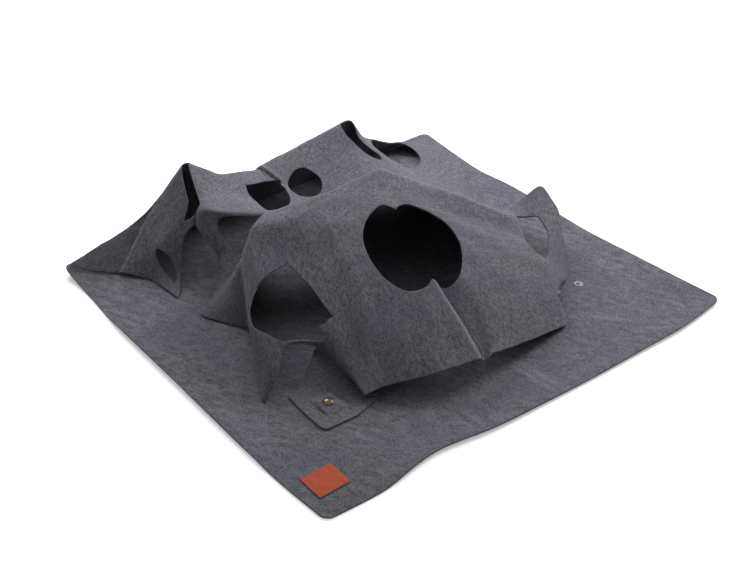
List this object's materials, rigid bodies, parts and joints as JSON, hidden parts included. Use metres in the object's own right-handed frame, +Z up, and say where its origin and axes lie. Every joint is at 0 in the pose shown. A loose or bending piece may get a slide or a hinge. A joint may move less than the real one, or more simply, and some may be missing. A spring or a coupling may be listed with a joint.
{
  "type": "felt cat play mat",
  "caption": "Flat felt cat mat with a second, pierced felt sheet pushed up into a hump and tunnels, held at its corner by a snap fastener.",
  "frame": {"origin": "middle of the mat's underside, on the floor", "axes": "+X along the mat's front edge from the snapped corner, +Y from the front edge to the back, +Z up"},
  "size_m": [1.0056, 0.9459, 0.2138],
  "materials": {
    "base_felt": "dark charcoal needle felt, matt",
    "sheet_felt": "heathered grey needle felt, matt",
    "tab_felt": "heathered grey needle felt, matt",
    "label_leather": "smooth tan leather",
    "cap_brass": "dark antique brass",
    "stud_steel": "nickel-plated snap stud"
  },
  "bodies": {
    "mat": {"base_mat": "base_felt", "upper_sheet": "sheet_felt", "label": "label_leather", "left_stud": "stud_steel", "left_post": "stud_steel", "right_cap": "cap_brass", "right_socket": "cap_brass", "right_stud": "stud_steel", "right_post": "stud_steel"},
    "tab": {"front_tab": "tab_felt", "left_cap": "cap_brass", "left_socket": "cap_brass"}
  },
  "joints": [
    {"name": "front_tab_lift", "type": "hinge", "parent": "mat", "child": "tab", "pos_m": [-0.34492, -0.18767, 0.00993], "axis": [-0.9931, -0.0819, -0.0842], "range_deg": [0, 60]}
  ]
}
